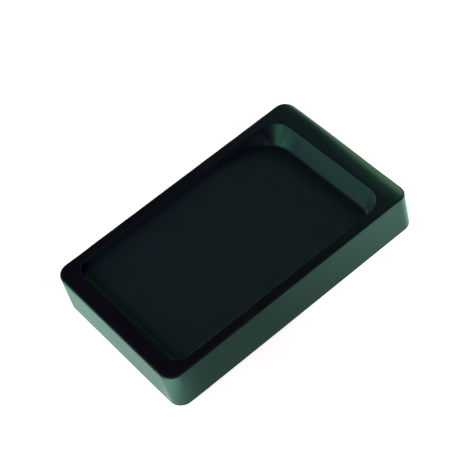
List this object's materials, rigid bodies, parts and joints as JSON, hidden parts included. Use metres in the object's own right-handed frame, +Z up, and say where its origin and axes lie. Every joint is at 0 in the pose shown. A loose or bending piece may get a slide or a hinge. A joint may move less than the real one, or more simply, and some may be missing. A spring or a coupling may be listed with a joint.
{
  "type": "ink stone",
  "caption": "Rectangular desk ink stone: a dark stone block with a rimmed hollow whose flat grinding surface slopes into an ink pool, on rubber feet.",
  "frame": {"origin": "on the surface that the feet stand on, under the middle of the stone", "axes": "+X across the stone to the writer's right, +Y along it from the grinding end towards the ink pool, +Z up"},
  "size_m": [0.093, 0.15, 0.0247],
  "materials": {
    "stone": "near-black stone, polished outside and on the rim, finely ground and matt inside the hollow",
    "foot_rubber": "matt moulded black rubber"
  },
  "bodies": {
    "root": {"stone_body": "stone", "foot_front_left": "foot_rubber", "foot_front_right": "foot_rubber", "foot_rear_left": "foot_rubber", "foot_rear_right": "foot_rubber"}
  },
  "joints": []
}
